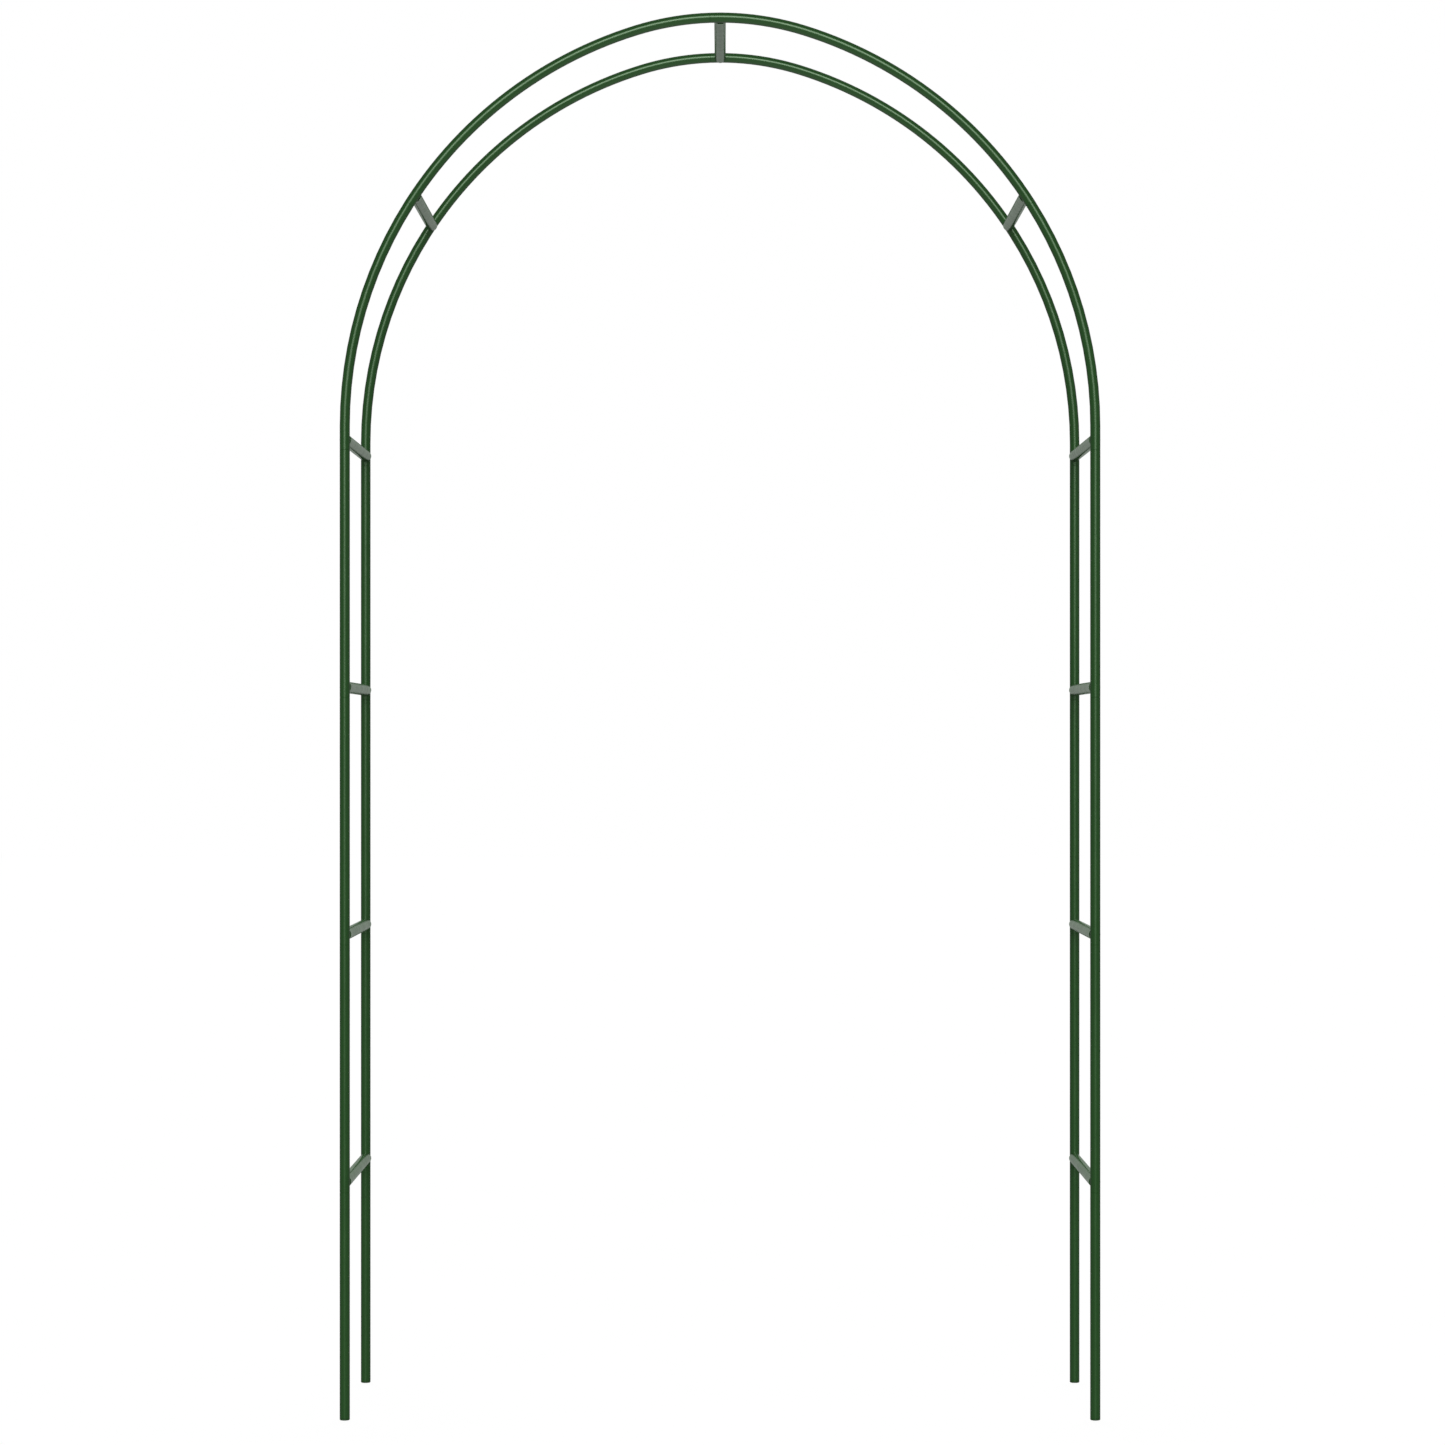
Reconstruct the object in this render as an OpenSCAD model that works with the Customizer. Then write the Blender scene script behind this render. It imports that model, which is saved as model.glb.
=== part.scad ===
// Free-standing garden arch for climbing plants: two tubular hoops side by side, tied
// together by eleven round cross-bars. Millimetres, +Z up, the arch spans X and its depth
// runs along Y. The origin is on the ground, under the middle of the arch.

/* [Arch] */
// Overall width, over the outside of the legs
overall_width = 1200; // [1100:10:1400]
// Overall depth, over the outside of the two hoops
overall_depth = 380; // [300:10:600]
// How far each long side arc's centre lies beyond the middle of the arch
side_offset = 61; // [50:1:80]
// Radius of the short arc at the top, along the tube's axis
crown_radius = 447; // [400:1:460]

/* [Cross-bars] */
// Number of cross-bars up each pair of legs
leg_bars = 4; // [3:1:5]
// Height of the lowest cross-bar's axis
first_bar_height = 375; // [340:1:420]
// Distance from one leg cross-bar to the next
bar_pitch = 390.5; // [360:0.5:420]
// Straight length of leg above the top leg cross-bar's axis
leg_above_bar = 22; // [22:1:60]
// Climb of the shoulder cross-bar round the side arc, in degrees
shoulder_angle = 33.8; // [28:0.2:38]
// How far a cross-bar's axis sits inside the hoop tube's axis
bar_inset = 0.5; // [0:0.1:1]

/* [Tubes] */
// Outside diameter of the hoop tube
hoop_tube = 16; // [15:0.5:18]
// Outside diameter of the cross-bar tube
bar_tube = 18.5; // [18:0.5:22]
// Wall thickness of both tubes, coating included
tube_wall = 0.8; // [0.7:0.1:0.9]

/* [Joints] */
// How far below a cross-bar's axis two hoop tubes meet
seam_drop = 16; // [13:1:20]
// Length of the reduced tube end that pushes up into the next tube
spigot_length = 36; // [32:1:44]
// Distance from the hoop tube's axis to the cross-bar's end faces
ear_gap = 6; // [5:0.5:7]
// Diameter of the peg that holds a cross-bar to the hoop
peg_diameter = 6; // [5:0.5:6.5]
// Height of the foot cap's visible rim
cap_rim = 3; // [2:0.5:6]

/* [Hidden] */
$fn = 64;
arc_facets = 360;            // facets in a full turn of the large arcs
front = 1;
back = -1;
left = 1;
right = -1;

clearance = 0.1;             // radial play of each push fit
edge_bevel = 0.3;            // bevel on the tube ends, which shows as a fine groove
swage_length = 4;            // length over which a tube narrows to its spigot
past = 1;                    // how far a cutting shape runs past what it cuts

hoop_r = hoop_tube / 2;
hoop_bore = hoop_r - tube_wall;
spigot_r = hoop_bore - clearance;
spigot_bore = spigot_r - tube_wall;
half_span = overall_width / 2 - hoop_r;
hoop_y = overall_depth / 2 - hoop_r;

leg_height = first_bar_height + (leg_bars - 1) * bar_pitch + leg_above_bar;
side_radius = half_span + side_offset;
centre_gap = side_radius - crown_radius;
arc_change = acos(side_offset / centre_gap);
crown_centre = leg_height + sqrt(pow(centre_gap, 2) - pow(side_offset, 2));
side_seam = shoulder_angle - side_turn(seam_drop);

bar_r = bar_tube / 2;
bar_bore = bar_r - tube_wall;
saddle_r = hoop_r + clearance;

plug_r = bar_bore - clearance;
plug_core = plug_r - 0.6;
plug_length = 22;
plug_rings = 4;
ring_width = 2;
ring_pitch = 6;
peg_r = peg_diameter / 2;
peg_hole = peg_r + 0.2;
peg_barb = peg_r + 0.5;
peg_tip = peg_r - 0.8;
barb_shoulder = 4.6;         // distance from the hoop axis to the barb's holding edge
barb_edge = 0.6;             // straight part of the barb
barb_end = 1.4;              // distance from the hoop axis to the peg's tip
peg_slot = 1.2;

cap_bevel = 0.9;
cap_shank = 14;
cap_shank_r = hoop_bore - 0.5;
cap_wall = 1.5;
cap_fins = 3;
cap_fin_r = hoop_bore - 0.05;
cap_fin = 0.8;
cap_fin_pitch = 4;

tube_green = [0.13, 0.29, 0.13];
bar_green = [0.2, 0.36, 0.2];
plug_green = [0.1, 0.2, 0.1];
cap_green = [0.1, 0.22, 0.1];

HOOPS = [["front", front], ["back", back]];
SIDES = [["left", left], ["right", right]];

function part_name(part, h, s) = str(part, "_", h[0], "_", s[0]);
function leg_name(h, s, i) = str(part_name("leg", h, s), "_", i);
function bar_name(s, place) = str("bar_", s[0], "_", place);
function plugs_name(h) = str("plugs_", h[0]);

function bar_height(i) = first_bar_height + (i - 1) * bar_pitch;
function seam_height(i) = bar_height(i) - seam_drop;

// The turn, in degrees, that takes up a length along each arc.
function side_turn(length) = length / side_radius * 180 / PI;
function crown_turn(length) = length / crown_radius * 180 / PI;

// Every piece is drawn for the front left, where the other hoop is towards +Y.
module mirrored(side, hoop)
    mirror([side == right ? 1 : 0, 0, 0])
        mirror([0, hoop == back ? 1 : 0, 0])
            children();

module on_hoop(side, hoop)
    mirrored(side, hoop)
        translate([0, -hoop_y, 0])
            children();

// Frames along the left half of a hoop: local Z runs up the tube and local X points inside.
module at_leg(height)
    translate([-half_span, 0, height]) children();

module at_side(turn)
    translate([side_offset, 0, leg_height])
        translate([-side_radius * cos(turn), 0, side_radius * sin(turn)])
            rotate([0, turn, 0])
                children();

module at_apex()
    translate([0, 0, crown_centre + crown_radius])
        rotate([0, 90, 0])
            children();

// Moves along an arc that leaves the local origin along +Z and bends towards +X.
module along(radius, turn)
    translate([radius * (1 - cos(turn)), 0, radius * sin(turn)])
        rotate([0, turn, 0])
            children();

// A solid round bar that follows such an arc.
module bent_rod(radius, turn, rod_r)
    translate([radius, 0, 0])
        mirror([1, 0, 0])
            rotate([90, 0, 0])
                rotate_extrude(angle = turn, $fn = arc_facets)
                    translate([radius, 0])
                        circle(r = rod_r);

// The same, but the arc arrives at the local origin from below.
module bent_rod_below(radius, turn, rod_r)
    mirror([0, 0, 1])
        bent_rod(radius, turn, rod_r);

// Cuts a bevel round a tube that ends at the local XY plane and lies below it.
module end_bevel()
    rotate_extrude()
        polygon([
            [hoop_r + past - edge_bevel, -past],
            [hoop_r - edge_bevel, 0],
            [hoop_r - 2 * edge_bevel, edge_bevel],
            [hoop_r + 2 * past, edge_bevel],
            [hoop_r + 2 * past, -past]
        ]);

// The hole for a peg, through the side of the tube that faces the other hoop.
module peg_bore()
    translate([bar_inset, 0, 0])
        rotate([-90, 0, 0])
            cylinder(r = peg_hole, h = hoop_r + past);

// Straight leg tube from its lower edge up to its seam, with the spigot above the seam.
module leg_tube(i) {
    low = i == 1 ? cap_rim : seam_height(i - 1);
    seam = seam_height(i);
    tip = seam + spigot_length;
    color(tube_green)
        at_leg(0)
            difference() {
                rotate_extrude()
                    polygon([
                        [hoop_bore, low],
                        [hoop_r - edge_bevel, low],
                        [hoop_r, low + edge_bevel],
                        [hoop_r, seam - edge_bevel],
                        [hoop_r - edge_bevel, seam],
                        [spigot_r, seam],
                        [spigot_r, tip - edge_bevel],
                        [spigot_r - edge_bevel, tip],
                        [spigot_bore, tip],
                        [spigot_bore, seam],
                        [hoop_bore, seam - swage_length]
                    ]);
                translate([0, 0, bar_height(i)])
                    peg_bore();
                if (i > 1)
                    translate([0, 0, bar_height(i - 1)])
                        peg_bore();
            }
}

// Tube from the top leg seam, over the spring line, to the seam under the shoulder bar.
// It is drawn from the spring line, where the straight leg turns into the side arc.
module haunch_tube() {
    straight = leg_height - seam_height(leg_bars);
    color(tube_green)
        at_leg(leg_height)
            difference() {
                union() {
                    translate([0, 0, -straight])
                        cylinder(r = hoop_r, h = straight);
                    bent_rod(side_radius, side_seam, hoop_r);
                    bent_rod(side_radius, side_seam + side_turn(spigot_length), spigot_r);
                }
                translate([0, 0, -straight - past])
                    cylinder(r = hoop_bore, h = straight + past);
                bent_rod(side_radius, side_seam - side_turn(swage_length), hoop_bore);
                bent_rod(side_radius, side_seam + side_turn(spigot_length + past), spigot_bore);
                translate([0, 0, -straight])
                    mirror([0, 0, 1])
                        end_bevel();
                along(side_radius, side_seam)
                    end_bevel();
                translate([0, 0, -leg_above_bar])
                    peg_bore();
                along(side_radius, shoulder_angle)
                    peg_bore();
            }
}

// Tube from the shoulder seam to the top, drawn from the place where the side arc turns
// into the crown arc. The left one ends in a spigot that passes under the apex bar, and
// the right one reaches past the apex bar to cover that spigot.
module crown_tube(side) {
    to_apex = 90 - arc_change;
    seam = to_apex - side * crown_turn(seam_drop);
    fall = arc_change - side_seam;
    color(tube_green)
        at_side(arc_change)
            difference() {
                union() {
                    bent_rod_below(side_radius, fall, hoop_r);
                    bent_rod(crown_radius, seam, hoop_r);
                    if (side == left)
                        bent_rod(crown_radius, seam + crown_turn(spigot_length), spigot_r);
                }
                bent_rod_below(side_radius, fall + side_turn(past), hoop_bore);
                if (side == left) {
                    bent_rod(crown_radius, seam - crown_turn(swage_length), hoop_bore);
                    bent_rod(crown_radius, seam + crown_turn(spigot_length + past), spigot_bore);
                }
                if (side == right)
                    bent_rod(crown_radius, seam + crown_turn(past), hoop_bore);
                mirror([0, 0, 1])
                    along(side_radius, fall)
                        end_bevel();
                along(crown_radius, seam)
                    end_bevel();
                along(side_radius, shoulder_angle - arc_change)
                    peg_bore();
                along(crown_radius, to_apex)
                    peg_bore();
            }
}

// Moulded cap: the rim the leg stands on, and a hollow finned shank inside the tube.
module foot_cap()
    color(cap_green)
        at_leg(0)
            difference() {
                union() {
                    rotate_extrude()
                        polygon([
                            [0, 0],
                            [hoop_r - cap_bevel, 0],
                            [hoop_r, cap_bevel],
                            [hoop_r, cap_rim - edge_bevel],
                            [hoop_r - edge_bevel, cap_rim],
                            [cap_shank_r, cap_rim],
                            [cap_shank_r, cap_rim + cap_shank],
                            [0, cap_rim + cap_shank]
                        ]);
                    for (i = [1 : cap_fins])
                        translate([0, 0, cap_rim + i * cap_fin_pitch - cap_fin])
                            cylinder(r = cap_fin_r, h = cap_fin);
                }
                translate([0, 0, cap_rim])
                    cylinder(r = cap_shank_r - cap_wall, h = cap_shank + past);
            }

// Cross-bar along Y, cut at both ends to sit against the hoop tubes.
module cross_bar()
    color(bar_green)
        difference() {
            translate([bar_inset, 0, 0])
                rotate([90, 0, 0])
                    difference() {
                        cylinder(r = bar_r, h = 2 * (hoop_y - ear_gap), center = true);
                        cylinder(r = bar_bore, h = 2 * hoop_y, center = true);
                    }
            for (end = [front, back])
                translate([0, end * hoop_y, 0])
                    cylinder(r = saddle_r, h = bar_tube + past, center = true);
        }

// The ringed shank of a plug, along +Z from the bar's end face.
module plug_shank() {
    translate([0, 0, ear_gap])
        cylinder(r = plug_core, h = plug_length);
    for (i = [0 : plug_rings - 1])
        translate([0, 0, ear_gap + i * ring_pitch])
            cylinder(r = plug_r, h = ring_width);
}

// The barbed peg, from the hoop axis at the local origin to inside the shank.
module peg()
    rotate_extrude()
        polygon([
            [0, barb_end],
            [peg_tip, barb_end],
            [peg_barb, barb_shoulder - barb_edge],
            [peg_barb, barb_shoulder],
            [peg_r, barb_shoulder],
            [peg_r, saddle_r + past],
            [0, saddle_r + past]
        ]);

// Plug in the front end of a cross-bar. Its split peg snaps into the hoop tube.
module bar_plug()
    translate([0, -hoop_y, 0])
        difference() {
            union() {
                difference() {
                    translate([bar_inset, 0, 0])
                        rotate([-90, 0, 0])
                            plug_shank();
                    cylinder(r = saddle_r, h = bar_tube + past, center = true);
                }
                translate([bar_inset, 0, 0])
                    rotate([-90, 0, 0])
                        peg();
            }
            translate([bar_inset - peg_slot / 2, 0, -bar_r])
                cube([peg_slot, saddle_r, bar_tube]);
        }

// Every place where a cross-bar meets the hoops.
module at_every_bar() {
    for (side = [left, right])
        mirrored(side, front) {
            for (i = [1 : leg_bars])
                at_leg(bar_height(i))
                    children();
            at_side(shoulder_angle)
                children();
        }
    at_apex()
        children();
}

module plug_set(hoop)
    color(plug_green)
        mirrored(left, hoop)
            at_every_bar()
                bar_plug();

for (h = HOOPS) {
    for (s = SIDES) {
        for (i = [1 : leg_bars])
            on_hoop(s[1], h[1]) leg_tube(i);
        on_hoop(s[1], h[1]) haunch_tube();
        on_hoop(s[1], h[1]) crown_tube(s[1]);
        on_hoop(s[1], h[1]) foot_cap();
    }
    plug_set(h[1]);
}
for (s = SIDES) {
    for (i = [1 : leg_bars])
        mirrored(s[1], front) at_leg(bar_height(i)) cross_bar();
    mirrored(s[1], front) at_side(shoulder_angle) cross_bar();
}
at_apex() cross_bar();  // bar_apex
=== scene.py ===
import math

import bpy
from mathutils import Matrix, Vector


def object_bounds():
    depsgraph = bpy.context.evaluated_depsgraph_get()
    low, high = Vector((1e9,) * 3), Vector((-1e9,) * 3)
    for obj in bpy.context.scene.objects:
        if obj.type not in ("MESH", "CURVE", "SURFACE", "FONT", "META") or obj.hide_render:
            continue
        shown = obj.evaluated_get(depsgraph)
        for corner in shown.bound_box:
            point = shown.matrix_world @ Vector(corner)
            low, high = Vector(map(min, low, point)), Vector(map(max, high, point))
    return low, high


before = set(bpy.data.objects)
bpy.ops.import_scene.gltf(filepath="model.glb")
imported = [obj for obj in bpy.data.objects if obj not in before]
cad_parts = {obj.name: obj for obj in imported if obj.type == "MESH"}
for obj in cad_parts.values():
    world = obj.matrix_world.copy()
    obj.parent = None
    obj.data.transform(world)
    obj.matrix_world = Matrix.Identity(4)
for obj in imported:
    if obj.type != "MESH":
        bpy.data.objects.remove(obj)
cad_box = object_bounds()

low, high = (Vector(corner) for corner in cad_box)
middle = (low + high) / 2
front_hoop = low.y

# The camera stands square on in front of the arch, a little below half its height. All
# lengths are in metres, apart from the lens and the sensor.
CAMERA_AWAY = 6.189
CAMERA_SIDE = 0.0039
CAMERA_HEIGHT = 1.069
LENS = 97.86
SENSOR = 36.0
SHIFT_UP = 0.0137
VIEW_DEPTH = 200

# The room's brightness, and the ground's, which is full from this elevation down.
ROOM_GLOW = 0.138
GROUND_GLOW = 0.44
GROUND_FULL = math.radians(-60)

# Patches of light round the object. Each has its side, half width in azimuth, low and high
# edges in elevation and the blur of its edges, in degrees, and then its brightness.
IN_FRONT = -1
BEHIND = 1
FRONT_PANEL = (IN_FRONT, 14, 13.4, 26.3, 19.2, 9.8)
FRONT_SKIRT = (IN_FRONT, 8, -25, 13.4, 19.2, 0.33)
BACK_PANEL = (BEHIND, 40, 30, 60, 6, 2.5)
HORIZON = (BEHIND, 170, -15, 15, 12, 0.055)
BACKDROP = (BEHIND, 18, -18, 18, 8, 0.195)
BACKDROP_TINT = (0.88, 1.12, 0.87)

# Colours are linear.
HOOP_GREEN = (0.022, 0.114, 0.018)
GLOSS_TINT = (0.71, 1.0, 0.68, 1)
# The bars carry the hoops' coating made lighter and greener. This is painted sheen, standing
# in for the pale surroundings the bars mirror almost end on.
BAR_GREEN_PAINTED_SHEEN = (0.045, 0.140, 0.038)
CAP_GREEN = (0.027, 0.105, 0.021)
PLUG_GREEN = (0.030, 0.110, 0.024)
FLOOR_GREY = (0.08, 0.08, 0.08)
FLOOR_GLOW = 0.96
FLOOR_SIZE = 60
FLOOR_DROP = 0.0005

# How far every tone strays from its colour, darkest and brightest.
DARKEST, BRIGHTEST = 0.9, 1.1

# Surface detail: features per metre of each pattern.
CLOUDS = 14.0
ORANGE_PEEL = 420.0
DRAG_MARKS = 60.0
DRAG_STRETCH = (1, 1, 0.25)
MOULD_CLOUDS = 40.0
MOULD_GRAIN = 900.0
FLOOR_CLOUDS = 3.0

# Relief of the same patterns: height in metres, and how strongly it shows.
CLOUD_RELIEF = (0.0004, 0.1)
PEEL_RELIEF = (0.00012, 0.1)
GRAIN_RELIEF = (0.0001, 0.4)

# Roughness of each surface, and how far the coating's and the mouldings' stray from it.
COATING_ROUGHNESS = 0.2
CAP_ROUGHNESS = 0.4
PLUG_ROUGHNESS = 0.5
FLOOR_ROUGHNESS = 0.9
COATING_STRAY = 0.04
MOULD_STRAY = 0.05


def new_material(name):
    """A material with its shader and a texture frame in object space."""
    material = bpy.data.materials.new(name)
    material.use_nodes = True
    nodes = material.node_tree.nodes
    shader = nodes["Principled BSDF"]
    place = nodes.new("ShaderNodeTexCoord")
    return material, shader, place


def link(material, out, into):
    material.node_tree.links.new(out, into)


def noise(material, place, scale, detail=2.0, stretch=(1, 1, 1)):
    """Noise in metres of object space: scale is how many features fit in a metre."""
    nodes = material.node_tree.nodes
    mapping = nodes.new("ShaderNodeMapping")
    mapping.inputs["Scale"].default_value = stretch
    texture = nodes.new("ShaderNodeTexNoise")
    texture.inputs["Scale"].default_value = scale
    texture.inputs["Detail"].default_value = detail
    link(material, place.outputs["Object"], mapping.inputs["Vector"])
    link(material, mapping.outputs["Vector"], texture.inputs["Vector"])
    return texture.outputs["Fac"]


def spread(material, value, centre, stray):
    """Maps a noise value, which mostly lies between 0.3 and 0.7, to a range round a centre."""
    node = material.node_tree.nodes.new("ShaderNodeMapRange")
    node.inputs["From Min"].default_value = 0.3
    node.inputs["From Max"].default_value = 0.7
    node.inputs["To Min"].default_value = centre - stray
    node.inputs["To Max"].default_value = centre + stray
    link(material, value, node.inputs["Value"])
    return node.outputs["Result"]


def shade(material, value, colour):
    """The colour, made darker or brighter where the value is low or high."""
    ramp = material.node_tree.nodes.new("ShaderNodeValToRGB")
    for element, factor in zip(ramp.color_ramp.elements, (DARKEST, BRIGHTEST)):
        element.color = (*(min(1.0, part * factor) for part in colour), 1)
    link(material, value, ramp.inputs["Fac"])
    return ramp.outputs["Color"]


def bump(material, value, relief, below=None):
    """A normal that follows the value, over the relief below if there is one."""
    node = material.node_tree.nodes.new("ShaderNodeBump")
    node.inputs["Distance"].default_value, node.inputs["Strength"].default_value = relief
    link(material, value, node.inputs["Height"])
    if below is not None:
        link(material, below, node.inputs["Normal"])
    return node.outputs["Normal"]


def coating(name, colour):
    """Glossy plastic coating on steel: cloudy tone, fine orange peel and drag marks."""
    material, shader, place = new_material(name)
    cloud = noise(material, place, CLOUDS, detail=4.0)
    peel = noise(material, place, ORANGE_PEEL)
    drag = noise(material, place, DRAG_MARKS, detail=3.0, stretch=DRAG_STRETCH)
    link(material, shade(material, cloud, colour), shader.inputs["Base Color"])
    roughness = spread(material, drag, COATING_ROUGHNESS, COATING_STRAY)
    link(material, roughness, shader.inputs["Roughness"])
    coarse = bump(material, cloud, CLOUD_RELIEF)
    link(material, bump(material, peel, PEEL_RELIEF, coarse), shader.inputs["Normal"])
    shader.inputs["IOR"].default_value = 1.5
    shader.inputs["Specular IOR Level"].default_value = 1.0
    shader.inputs["Specular Tint"].default_value = GLOSS_TINT
    return material


def moulded(name, colour, roughness):
    """Satin moulded plastic with a fine grain."""
    material, shader, place = new_material(name)
    cloud = noise(material, place, MOULD_CLOUDS, detail=3.0)
    grain = noise(material, place, MOULD_GRAIN)
    link(material, shade(material, cloud, colour), shader.inputs["Base Color"])
    link(material, spread(material, cloud, roughness, MOULD_STRAY), shader.inputs["Roughness"])
    link(material, bump(material, grain, GRAIN_RELIEF), shader.inputs["Normal"])
    return material


def floor_material():
    """A glowing floor, as white as the background and with no dark contact shadows.

    It isn't sampled as a lamp, since it lights nothing: that would only add grain.
    """
    material, shader, place = new_material("pale_floor")
    cloud = noise(material, place, FLOOR_CLOUDS)
    link(material, shade(material, cloud, FLOOR_GREY), shader.inputs["Base Color"])
    shader.inputs["Roughness"].default_value = FLOOR_ROUGHNESS
    shader.inputs["Specular IOR Level"].default_value = 0.0
    shader.inputs["Emission Color"].default_value = (1, 1, 1, 1)
    shader.inputs["Emission Strength"].default_value = FLOOR_GLOW
    material.cycles.emission_sampling = "NONE"
    return material


def paint_nodes():
    """Gives each node the material of its kind, which is the first word of its name."""
    materials = {
        "leg": coating("hoop_coating", HOOP_GREEN),
        # The bars get a lighter copy of the hoops' coating, as painted sheen.
        "bar": coating("bar_coating", BAR_GREEN_PAINTED_SHEEN),
        "cap": moulded("cap_plastic", CAP_GREEN, CAP_ROUGHNESS),
        "plugs": moulded("plug_nylon", PLUG_GREEN, PLUG_ROUGHNESS),
    }
    materials["haunch"] = materials["crown"] = materials["leg"]
    for name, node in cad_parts.items():
        node.data.materials.clear()
        node.data.materials.append(materials[name.split("_")[0]])


def make_floor():
    under = (middle.x, middle.y, low.z - FLOOR_DROP)
    bpy.ops.mesh.primitive_plane_add(size=FLOOR_SIZE, location=under)
    floor = bpy.context.object
    floor.name = "floor"
    floor.data.materials.append(floor_material())
    floor.visible_glossy = False
    floor.visible_diffuse = False


def make_camera():
    data = bpy.data.cameras.new("camera")
    data.lens = LENS
    data.sensor_width = SENSOR
    data.shift_y = SHIFT_UP
    data.clip_end = VIEW_DEPTH
    camera = bpy.data.objects.new("camera", data)
    camera.location = (
        middle.x + CAMERA_SIDE,
        front_hoop - CAMERA_AWAY,
        low.z + CAMERA_HEIGHT,
    )
    camera.rotation_euler = (math.radians(90), 0, 0)
    bpy.context.scene.collection.objects.link(camera)
    bpy.context.scene.camera = camera


def make_world():
    """Even studio light from far away: soft panels in front and behind in a dim room.

    The camera sees it as plain white. Other rays see the room, the ground's glow below the
    horizon and the patches of light. The back panel lights matt surfaces only. The last
    patch, a low pale backdrop, is what the cross-bars mirror along their length.
    """
    world = bpy.data.worlds.new("studio")
    bpy.context.scene.world = world
    world.use_nodes = True
    nodes, links = world.node_tree.nodes, world.node_tree.links

    def math_node(operation, *values):
        node = nodes.new("ShaderNodeMath")
        node.operation = operation
        for socket, value in zip(node.inputs, values):
            if isinstance(value, (int, float)):
                socket.default_value = value
            else:
                links.new(value, socket)
        return node.outputs[0]

    def ramp(value, start, end):
        node = nodes.new("ShaderNodeMapRange")
        node.interpolation_type = "SMOOTHSTEP"
        node.inputs["From Min"].default_value = start
        node.inputs["From Max"].default_value = end
        links.new(value, node.inputs["Value"])
        return node.outputs["Result"]

    place = nodes.new("ShaderNodeTexCoord")
    parts = nodes.new("ShaderNodeSeparateXYZ")
    links.new(place.outputs["Generated"], parts.inputs[0])
    x, y, z = parts.outputs
    elevation = math_node("ARCSINE", z)

    def panel(towards, half_width, low_edge, high_edge, blur, strength):
        turn = math_node("ARCTAN2", x, math_node("MULTIPLY", y, towards))
        azimuth = math_node("ABSOLUTE", turn)
        angles = (half_width, low_edge, high_edge, blur)
        half_width, low_edge, high_edge, blur = map(math.radians, angles)
        side = ramp(azimuth, half_width + blur, half_width - blur)
        foot = ramp(elevation, low_edge - blur, low_edge + blur)
        top = ramp(elevation, high_edge + blur, high_edge - blur)
        patch = math_node("MULTIPLY", math_node("MULTIPLY", side, foot), top)
        return math_node("MULTIPLY", patch, strength)

    path = nodes.new("ShaderNodeLightPath")
    matt_only = math_node("SUBTRACT", 1.0, path.outputs["Is Glossy Ray"])
    ground = math_node("MULTIPLY", ramp(elevation, 0, GROUND_FULL), GROUND_GLOW - ROOM_GLOW)
    neutral = math_node("ADD", ground, ROOM_GLOW)
    back = math_node("MULTIPLY", panel(*BACK_PANEL), matt_only)
    for patch in (panel(*FRONT_PANEL), panel(*FRONT_SKIRT), back, panel(*HORIZON)):
        neutral = math_node("ADD", neutral, patch)
    tinted = nodes.new("ShaderNodeVectorMath")
    tinted.operation = "MULTIPLY_ADD"
    links.new(panel(*BACKDROP), tinted.inputs[0])
    tinted.inputs[1].default_value = BACKDROP_TINT
    links.new(neutral, tinted.inputs[2])
    seen = nodes.new("ShaderNodeMix")
    seen.data_type = "VECTOR"
    others_see, camera_sees = seen.inputs[4:6]
    links.new(path.outputs["Is Camera Ray"], seen.inputs["Factor"])
    links.new(tinted.outputs["Vector"], others_see)
    camera_sees.default_value = (1, 1, 1)
    links.new(seen.outputs[1], nodes["Background"].inputs["Color"])


paint_nodes()
make_floor()
make_camera()
make_world()
bpy.context.scene.view_settings.view_transform = "Standard"
